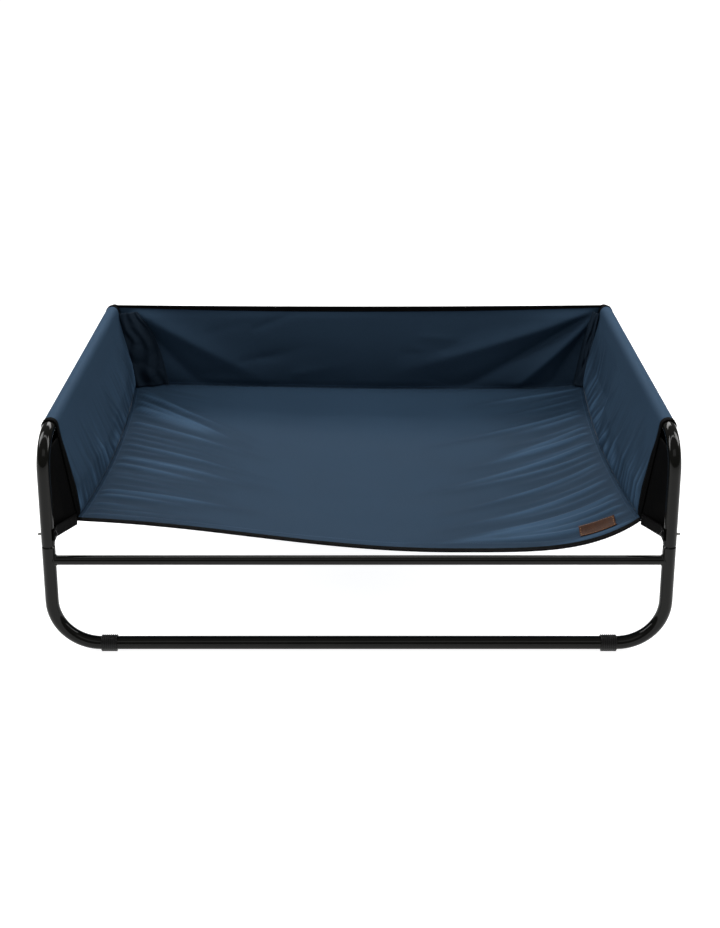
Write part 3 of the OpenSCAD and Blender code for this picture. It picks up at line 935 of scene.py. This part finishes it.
        flat = (0.630, 0.236)
        wall = self.cloth(f"{name}_wall_cloth", f"{name}_wall_panel", place, (280, 64), flat,
                          Finishes.NAVY, "navy_oxford", worn)
        for end, at, inward in ((End.FRONT, 0.0, 1), (End.REAR, 1.0, -1)):
            edge = Edge(place, False, at, inward)
            label = corner_label(side, end)
            tape_fold(edge, f"{label}_sleeve_tape", f"{label}_sleeve_binding",
                                   90, z.tape_w, self.tape_lip, flat[1])
            edge_stitches(f"{label}_tape_stitches", edge, z.tape_w - 2 * MM,
                                       -side.value * self.tape_thread_lift, flat[1],
                                       Finishes.BLACK_THREAD)

    def make_outer_panel(self, side: Side) -> None:
        """The black panel outside a wall, from the flap's hem down to the side seam."""
        z = self.sizes
        name = side.label
        belly, crumple, drop = 1.5 * MM, 1.6 * MM, 0.4 * MM

        def place(s: float, t: float) -> Vector:
            """A point of the panel, s from front to rear and t from hem to seam."""
            v = 2 * s - 1
            y = v * z.sleeve_y
            hx, hz, _, _ = self.section(v, self.wall_length(v))
            fx, fz = self.seam(v)
            sag = belly + crumple * noise.noise(Vector((y * 8, t * 3, 9)))
            x = hx + (fx + self.flap_gap - hx) * t + math.sin(math.pi * t) * sag
            return Vector((side.value * x, y, hz - drop + (fz - hz) * t))

        flat = (0.630, 0.142)
        panel = self.cloth(f"{name}_outer_cloth", f"{name}_outer_panel", place, (126, 30), flat,
                           Finishes.BLACK_OXFORD, "black_oxford")
        row = edge_stitches(f"{name}_hem_stitches", Edge(place, True, 0.0, 1), 5 * MM,
                            -side.value * self.thread_lift, flat[0], Finishes.BLACK_THREAD)

    def back_side_x(self, height: float) -> float:
        """Half the back wall's width at a height; its top corners follow the sleeves' curve."""
        z = self.sizes
        gap = 0.2 * MM
        fx, fz = self.seam(1)
        tx, tz = self.rail(self.wrap(1)[1])
        if height > tz:
            reach = z.wrap_r + gap
            return z.leg_x - math.sqrt(max(0.0, reach ** 2 - (height - z.rail_z) ** 2))
        return fx + (tx - fx) * (height - fz) / (tz - fz) - gap

    def make_back_wall(self, dice: random.Random) -> None:
        """The back wall, with folds that fan from its top right corner, and its binding."""
        z = self.sizes
        folds = [
            Crease((0.494, 0.172), math.pi + 0.30, 0.46, 15 * MM, 10 * MM),
            Crease((0.494, 0.166), math.pi + 0.52, 0.40, 13 * MM, -12 * MM),
            Crease((0.492, 0.158), math.pi + 0.74, 0.30, 12 * MM, 13 * MM),
            Crease((0.490, 0.145), math.pi + 0.98, 0.22, 10 * MM, -11 * MM),
            Crease((0.488, 0.130), math.pi + 1.25, 0.15, 8 * MM, 9 * MM),
            Crease((-0.470, 0.168), -0.50, 0.34, 17 * MM, 10 * MM),
            Crease((-0.470, 0.150), -0.80, 0.24, 13 * MM, -11 * MM),
            *[Crease((dice.uniform(-0.4, 0.3), dice.uniform(0.02, 0.13)), dice.uniform(-0.5, 0.5),
                     dice.uniform(0.08, 0.2), dice.uniform(7, 12) * MM,
                     dice.uniform(-1.8, 1.8) * MM) for _ in range(14)],
        ]
        tuck, belly, crumple, even_share = 3 * MM, 7 * MM, 2.5 * MM, 0.8
        low_corner = self.floor_z(self.back_side_x(z.seam_z), z.floor_rear) - tuck
        rail_share = (self.rail(self.wrap(1)[1])[1] - low_corner) / (z.back_top - low_corner)

        def place(s: float, t: float) -> Vector:
            """A point of the back wall, s from left to right and t from foot to top."""
            side = 2 * s - 1
            foot_x = side * self.back_side_x(z.seam_z)
            low = self.floor_z(foot_x, z.floor_rear) - tuck
            high = z.back_top - z.back_sag * (1 - side * side)
            if t < even_share:
                level = rail_share * t / even_share
            else:
                level = rail_share + (1 - rail_share) * (t - even_share) / (1 - even_share)
            height = low + (high - low) * level
            x = side * self.back_side_x(height)
            aside = 1 - abs(side)
            free = smooth(0, 0.1, level) * smooth(0.02, 0.14, 1 - level) * smooth(0, 0.05, aside)
            push = sum(c.lift(x, height - low) for c in folds)
            push += belly * math.sin(math.pi * level ** 0.8) * smooth(0.04, 0.22, aside)
            push += crumple * noise.noise(Vector((x * 5, height * 9, 2.0)))
            return Vector((x, z.back_y - free * push, height))

        flat = (0.990, 0.182)
        back = self.cloth("back_wall_cloth", "back_wall_panel", place, (230, 46), flat,
                          Finishes.NAVY, "navy_oxford")
        top = Edge(place, True, 1.0, -1)
        tape = tape_fold(top, "back_wall_tape", "back_wall_binding", 120, z.tape_w, self.tape_lip,
                         flat[0])
        rows = [
            edge_stitches("back_tape_stitches", top, z.tape_w - 2 * MM, self.tape_thread_lift,
                          flat[0], Finishes.BLACK_THREAD),
            edge_stitches("back_foot_stitches", Edge(place, True, 0.0, 1), 9 * MM,
                          self.thread_lift, 0.94),
        ]

    def make_gusset(self, side: Side, end: End, dice: random.Random) -> None:
        """The black cloth that closes the end of a side pocket, between wall and leg."""
        z = self.sizes
        label = corner_label(side, end)
        foot_z, top_z, bend_z = 208 * MM, z.rail_z - z.tube_r - 6 * MM, z.rail_z - z.hoop_bend_r
        wall_y, leg_y = z.pocket_end_y - 0.6 * MM, z.leg_y - z.tube_r - 0.2 * MM
        tuck, taper, bulge, belly, crumple = 2.5 * MM, 2 * MM, 11 * MM, 1.5 * MM, 2.5 * MM
        shift = dice.uniform(0, 10)

        def place(s: float, t: float) -> Vector:
            """A point of the gusset, s up from its foot and t from wall to leg."""
            height = foot_z + s * (top_z - foot_z)
            a = Vector((self.back_side_x(height) + tuck, wall_y, height))
            b = Vector((z.leg_x - (1 - s) * taper, leg_y, foot_z + s * (bend_z - foot_z)))
            p = a.lerp(b, t)
            across = math.sin(math.pi * t)
            p += Vector((0, 1, 1)) * (bulge * s ** 3 * across)
            crumpled = belly + crumple * noise.noise(Vector((s * 4, t * 3, shift)))
            p.x -= across * math.sin(math.pi * s) * crumpled
            return Vector((side.value * p.x, end.value * p.y, p.z))

        flat = (0.133, 0.062)
        gusset = self.cloth(f"{label}_gusset_cloth", f"{label}_gusset", place, (36, 20), flat,
                            Finishes.BLACK_OXFORD, "black_oxford")

    def make_corner_fold(self, side: Side) -> None:
        """The loose, crinkled cloth that is folded away in a rear corner."""
        z = self.sizes
        label = side.label
        top_w, foot_w, pleat, flat_w = (34 * MM, 68 * MM, 1.7 * MM, 0.070) \
            if side is Side.LEFT else (10 * MM, 19 * MM, 0.6 * MM, 0.030)
        clear, depth, belly, crumple = 3.5 * MM, 16 * MM, 4 * MM, 6 * MM
        foot_z, top_z = 217 * MM, 377.5 * MM

        def place(s: float, t: float) -> Vector:
            """A point of the fold, s up from its foot and t out from the side wall."""
            height = foot_z + s * (top_z - foot_z)
            width = foot_w + (top_w - foot_w) * s ** 3
            swell = belly * math.sin(math.pi * t)
            crumpled = noise.turbulence(Vector((t * 1.6 + side.value, s * 3.2, 1.7)), 2, True)
            pleated = math.sin(4.5 * math.pi * t + 3.5 * noise.noise(Vector((s * 2.5, t, 0))))
            wave = (crumpled - 0.5) * crumple + pleated * pleat
            wave *= smooth(0, 0.12, t) * smooth(0, 0.15, 1 - t)
            back = z.sleeve_y - clear
            x = self.back_side_x(height) - clear - t * width - 0.4 * swell
            y = back - depth * (1 - t) ** 1.3 - swell - wave
            return Vector((side.value * x, min(y, back), height))

        flat = (0.176, flat_w)
        fold = self.cloth(f"rear_{label}_fold_cloth", f"rear_{label}_corner_fold", place, (64, 36),
                          flat, Finishes.NAVY_REVERSE, "navy_oxford")

    def make_patch(self) -> None:
        """The plain leather patch at the floor's front right corner, sewn round its border."""
        z = self.sizes
        width, depth = z.patch_size
        thickness, lie, relief, stitch_line = 1.4 * MM, 1.7 * MM, 0.35 * MM, 2.6 * MM

        def place(s: float, t: float) -> Vector:
            """A point of the patch, s across and t from front to rear."""
            x, y = z.patch_x + s * width, z.patch_y + t * depth
            rim = min(s * width, (1 - s) * width, t * depth, (1 - t) * depth)
            pressed = math.exp(-((rim - stitch_line) / (0.8 * MM)) ** 2)
            bed = self.floor_point(0.5 + 0.5 * x / self.floor_half(y),
                                   (y - z.floor_front) / (z.floor_rear - z.floor_front)).z
            soft = noise.noise(Vector((x * 60, y * 60, 0)))
            return Vector((x, y, bed + lie + relief * (soft - pressed)))

        patch = publish(cloth_grid(place, 60, 30, z.patch_size), "leather_patch",
                        Finishes.LEATHER, ("label_patch",))
        thicken(patch, thickness)
        rim = patch.modifiers.new("burnished rim", "BEVEL")
        rim.width, rim.segments, rim.limit_method, rim.angle_limit = 0.35 * MM, 2, "ANGLE", 1.0
        edges = [(Edge(place, along, at, inward), width if along else depth)
                 for along in (True, False) for at, inward in ((0.0, 1), (1.0, -1))]
        for i, (edge, length) in enumerate(edges):
            edge_stitches(f"patch_stitches_{i + 1}", edge, stitch_line, 0.8 * MM, length,
                          Finishes.TAN_THREAD,
                          (stitch_line / length, 1 - stitch_line / length))

    def make_tab(self, side: Side, end: End) -> None:
        """A webbing tab: flat on the leg under the bolt, then turned to the sling's corner."""
        z = self.sizes
        label = corner_label(side, end)
        skin_x = z.leg_x - z.tube_r - z.tab_t / 2
        past_bolt, corner_x, soften, arch = 9 * MM, 471.9 * MM, 3 * MM, 0.5 * MM
        near = Vector((skin_x, -z.leg_y - past_bolt))
        turn = Vector((skin_x, -z.leg_y + z.tube_r))
        far = Vector((corner_x, -z.pocket_end_y))
        first, second = (turn - near).length, (far - turn).length
        total = first + second

        def on(at: float) -> Vector:
            """The tab's line at a distance, before its turn is softened."""
            if at < first:
                return near.lerp(turn, at / first)
            return turn.lerp(far, (at - first) / second)

        def place(s: float, t: float) -> Vector:
            """A point of the tab, s along it from the leg and t up it."""
            d = s * total
            p = (on(max(d - soften, 0)) + on(min(d + soften, total)) + 2 * on(d)) / 4
            curl = arch * math.sin(math.pi * s) * math.cos(math.pi * t)
            return Vector((side.value * (p.x + curl), -end.value * p.y,
                           z.bolt_z + (t - 0.5) * z.tab_h))

        tab = publish(cloth_grid(place, 44, 12, (total, z.tab_h)), f"{label}_strap",
                      Finishes.WEBBING, (f"{label}_tab",))
        thicken(tab, z.tab_t - 0.2 * MM)
        edge = Edge(place, False, 1.0, -1)
        for i, inset in enumerate((3 * MM, 11 * MM)):
            for face, word in ((-1, "in"), (1, "out")):
                edge_stitches(f"{label}_strap_stitches_{i + 1}_{word}", edge, inset,
                              face * 0.95 * MM, z.tab_h, Finishes.BLACK_THREAD,
                              (0.12, 0.88))


# ---------------------------------------------------------------- the frame

def turned(profile: Sequence[tuple[float, float]], steps: int, closed: bool) -> Shape:
    """A shape turned about X.

    Args:
        profile: its outline as (x, radius), in metres.
        steps: faces round it.
        closed: whether the outline's last point joins its first.

    Returns:
        The shape, with its normals outwards.
    """
    bm = bmesh.new()
    verts = [bm.verts.new((x, 0.0, r)) for x, r in profile]
    pairs = list(zip(verts, verts[1:])) + ([(verts[-1], verts[0])] if closed else [])
    edges = [bm.edges.new(pair) for pair in pairs]
    bmesh.ops.spin(bm, geom=[*verts, *edges], axis=(1, 0, 0), cent=(0, 0, 0), angle=math.tau,
                   steps=steps, use_merge=True)
    bmesh.ops.remove_doubles(bm, verts=bm.verts, dist=0.002 * MM)
    bmesh.ops.recalc_face_normals(bm, faces=bm.faces)
    return bm


def gathered(parts: Iterable[Shape]) -> Shape:
    """Several shapes as one, each freed."""
    whole = bmesh.new()
    for part in parts:
        mesh = bpy.data.meshes.new("part")
        part.to_mesh(mesh)
        part.free()
        whole.from_mesh(mesh)
        bpy.data.meshes.remove(mesh)
    return whole


@dataclass
class Frame:
    """The tube frame: hoops, base tubes, crossbars, feet and the bolts at the four leg joints."""

    sizes: BedSizes = SIZES

    def build(self) -> None:
        """Dress the tubes, and make the beads, feet and bolts."""
        self.dress(("left_hoop", "right_hoop", "front_base_tube", "rear_base_tube",
                    "front_crossbar", "rear_crossbar"), Finishes.FRAME)
        self.dress(("joint_washers", "tab_eyelets"), Finishes.BLACK_ZINC)
        self.dress(("joint_nuts",), Finishes.ZINC)
        self.make_weld_beads()
        for side, end in CORNERS:
            self.make_foot(side, end)
        self.make_bolts()

    def dress(self, names: Sequence[str], finish: Finish) -> None:
        """Give CAD nodes a finish."""
        for name in names:
            for slot in bpy.data.objects[name].material_slots:
                slot.material = finish.material()
            LOG.info("%s: %s", name, finish.name)

    def make_weld_beads(self) -> None:
        """Rippled weld beads where the crossbars meet the legs, under the powder coat."""
        z = self.sizes
        bead_r, ripples, depth = 1.25 * MM, 19, 0.16
        off_bar, off_leg, flank = 0.3 * MM, 0.2 * MM, 9.5 * MM

        def bead(side: Side, end: End) -> Shape:
            """One bead."""

            def place(s: float, t: float) -> Vector:
                """A point of the bead, s round the crossbar and t round the bead."""
                phi, a = s * math.tau, t * math.tau
                r = bead_r * (1 + depth * math.cos(ripples * phi + 0.6 * math.sin(3 * phi)))
                reach = z.crossbar_r + off_bar + r * math.cos(a)
                y = reach * math.sin(phi)
                skin = math.sqrt(z.tube_r ** 2 - min(abs(y), flank) ** 2)
                x = z.leg_x - skin - off_leg - r * math.sin(a)
                return Vector((side.value * x, end.value * z.leg_y + y,
                               z.crossbar_z + reach * math.cos(phi)))

            bm = cloth_grid(place, 114, 10, (0.05, 0.008))
            bmesh.ops.remove_doubles(bm, verts=bm.verts, dist=0.01 * MM)
            bmesh.ops.recalc_face_normals(bm, faces=bm.faces)
            return bm

        publish(gathered(bead(*corner) for corner in CORNERS), "weld_beads", Finishes.FRAME,
                angle=80)

    def make_foot(self, side: Side, end: End) -> None:
        """A ribbed vinyl sleeve round a base tube, flat where it stands."""
        z = self.sizes
        start = z.leg_x - z.base_bend_r - 1 * MM - z.foot_len
        pitch = z.foot_len / (z.foot_ribs - 0.5)
        low = z.base_z - z.rib_depth
        bore = z.tube_r + 0.02 * MM
        outline = [(0.0, bore), (0.0, low)]
        for i in range(z.foot_ribs):
            x = i * pitch
            for share, rise in ((0.04, 0.0), (0.09, 0.6), (0.16, 0.92), (0.25, 1.0), (0.34, 0.92),
                                (0.41, 0.6), (0.46, 0.0)):
                outline.append((x + share * pitch, low + rise * z.rib_depth))
        outline += [(z.foot_len, low), (z.foot_len, bore)]
        bm = turned(outline, 72, True)
        for vert in bm.verts:
            outer = math.hypot(vert.co.y, vert.co.z) > low - 0.01 * MM
            if outer and vert.co.z < 0:
                sole = 1 - smooth(z.sole_w / 2 - 0.8 * MM, z.sole_w / 2 + 0.4 * MM, abs(vert.co.y))
                vert.co.z += (-z.base_z - vert.co.z) * sole
        if side is Side.LEFT:
            bmesh.ops.scale(bm, vec=(-1, 1, 1), verts=bm.verts)
        bmesh.ops.translate(bm, vec=(side.value * start, end.value * z.leg_y, z.base_z),
                            verts=bm.verts)
        bmesh.ops.recalc_face_normals(bm, faces=bm.faces)
        label = corner_label(side, end)
        publish(bm, f"{label}_foot_sleeve", Finishes.VINYL, (f"{label}_foot",), 55)

    def make_bolts(self) -> None:
        """Button-head bolts, painted heads inwards and bare threads outwards."""
        z = self.sizes
        tip, seat = -(z.tube_r + z.bolt_proud), z.tube_r + z.tab_t + 1.5 * MM
        root, pitch, chamfer, inside = z.bolt_r - 0.28 * MM, 0.7 * MM, 0.4 * MM, 1.0 * MM
        socket, socket_rim, half_key = 0.5 * MM, 1.3 * MM, 1.15 * MM
        outline = [(tip, 0.0), (tip, root - 0.3 * MM), (tip + chamfer, root)]
        x = tip + chamfer + 0.1 * MM
        while x < inside - z.tube_r:
            outline += [(x, root), (x + 0.5 * pitch, z.bolt_r)]
            x += pitch
        dome = ((0.0, 3.8), (0.5, 3.8), (1.3, 3.45), (1.9, 2.9), (2.35, 2.1), (2.6, 1.5),
                (2.6, 1.25), (1.2, 1.25), (1.2, 0.0))
        outline += [(x, z.bolt_r), (seat, z.bolt_r)]
        outline += [(seat + h * MM, r * MM) for h, r in dome]

        def bolt(side: Side, end: End) -> Shape:
            """One bolt, its head towards the middle of the bed."""
            bm = turned(outline, 24, False)
            for vert in bm.verts:
                r = math.hypot(vert.co.y, vert.co.z)
                if vert.co.x > seat + 1 * MM and socket < r < socket_rim:
                    turn = math.atan2(vert.co.z, vert.co.y) % (math.pi / 3) - math.pi / 6
                    flat = half_key / math.cos(turn) / r
                    vert.co.y, vert.co.z = vert.co.y * flat, vert.co.z * flat
            for face in bm.faces:
                face.material_index = 1 if face.calc_center_median().x > seat - 0.1 * MM else 0
            if side is Side.RIGHT:
                bmesh.ops.rotate(bm, cent=(0, 0, 0), matrix=Matrix.Rotation(math.pi, 3, "Z"),
                                 verts=bm.verts)
            bmesh.ops.translate(bm, vec=(side.value * z.leg_x, end.value * z.leg_y, z.bolt_z),
                                verts=bm.verts)
            return bm

        publish(gathered(bolt(*corner) for corner in CORNERS), "button_head_bolts",
                Finishes.ZINC, ("joint_bolts",), 35, (Finishes.FRAME,))


# ---------------------------------------------------------------- the room

@dataclass(frozen=True)
class Softbox:
    """A rectangular soft light that looks at the middle of the bed."""

    name: str
    at: tuple[float, float, float]
    size: tuple[float, float]
    watts: float

    def build(self) -> None:
        """Make the light."""
        data = bpy.data.lights.new(self.name, "AREA")
        data.shape, data.size, data.size_y, data.energy = "RECTANGLE", *self.size, self.watts
        light = bpy.data.objects.new(self.name, data)
        light.location = self.at
        toward = Vector((0, 0, 0.2)) - Vector(self.at)
        light.rotation_euler = toward.to_track_quat("-Z", "Y").to_euler()
        bpy.context.scene.collection.objects.link(light)


@dataclass
class Studio:
    """A plain pale floor, soft light from all round, and the camera."""

    camera_at: tuple[float, float, float] = (0.0017, -2.4914, 1.2660)
    pitch: float = math.radians(90 - 16.26)
    lens: float = 55.22
    shift: float = -0.20
    lights: tuple[Softbox, ...] = (
        Softbox("overhead_strip", (0.0, -0.3, 2.5), (2.8, 0.2), 13),
        Softbox("rear_key", (0.0, 1.7, 2.0), (2.4, 0.7), 36),
        Softbox("front_fill", (0.0, -2.6, 2.3), (3.0, 1.0), 9),
        Softbox("left_side", (-2.0, 0.1, 1.7), (0.8, 1.6), 40),
        Softbox("right_side", (2.0, 0.1, 1.7), (0.8, 1.6), 40),
    )

    def build(self) -> None:
        """Make the floor, the lights, the sky and the camera."""
        self.make_floor()
        self.make_sky()
        for light in self.lights:
            light.build()
        data = bpy.data.cameras.new("camera")
        data.lens, data.sensor_width, data.shift_y = self.lens, 36.0, self.shift
        data.clip_end = 60
        camera = bpy.data.objects.new("camera", data)
        camera.location, camera.rotation_euler = self.camera_at, (self.pitch, 0, 0)
        bpy.context.scene.collection.objects.link(camera)
        bpy.context.scene.camera = camera
        bpy.context.scene.view_settings.view_transform = "Standard"

    def make_floor(self) -> None:
        """A wide pale floor, lit a little from within as a studio sweep is by bounce."""
        bm = bmesh.new()
        bmesh.ops.create_grid(bm, x_segments=1, y_segments=1, size=14)
        mesh = bpy.data.meshes.new("studio_floor")
        bm.to_mesh(mesh)
        bm.free()
        made = bpy.data.materials.new("pale_sweep")
        made.use_nodes = True
        shader = made.node_tree.nodes["Principled BSDF"]
        shader.inputs["Base Color"].default_value = (0.5, 0.5, 0.5, 1)
        shader.inputs["Roughness"].default_value = 0.9
        shader.inputs["Specular IOR Level"].default_value = 0.1
        shader.inputs["Emission Color"].default_value = (1, 1, 1, 1)
        shader.inputs["Emission Strength"].default_value = 0.94
        mesh.materials.append(made)
        floor = bpy.data.objects.new("studio_floor", mesh)
        bpy.context.scene.collection.objects.link(floor)

    def make_sky(self) -> None:
        """Even white light that is stronger from above than from the sides."""
        world = bpy.data.worlds.new("studio_sky")
        world.use_nodes = True
        tree = world.node_tree
        tree.nodes.clear()
        ray = add_node(tree, "TexCoord").outputs["Generated"]
        axes = add_node(tree, "SeparateXYZ", {"Vector": ray})
        light = ramp(tree, axes.outputs["Z"],
                     [(0.0, grey(0.16)), (0.5, grey(0.24)), (1.0, grey(0.4))])
        sky = add_node(tree, "Background", {"Color": light}, {"Strength": 1.0})
        add_node(tree, "OutputWorld", {"Surface": sky.outputs["Background"]})
        bpy.context.scene.world = world


def main() -> None:
    """Build the bed in its studio and report each piece."""
    logging.basicConfig(level=logging.INFO, format="%(name)s: %(message)s")
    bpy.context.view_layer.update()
    Studio().build()
    Sling().build()
    Frame().build()


if __name__ == "__main__":
    main()
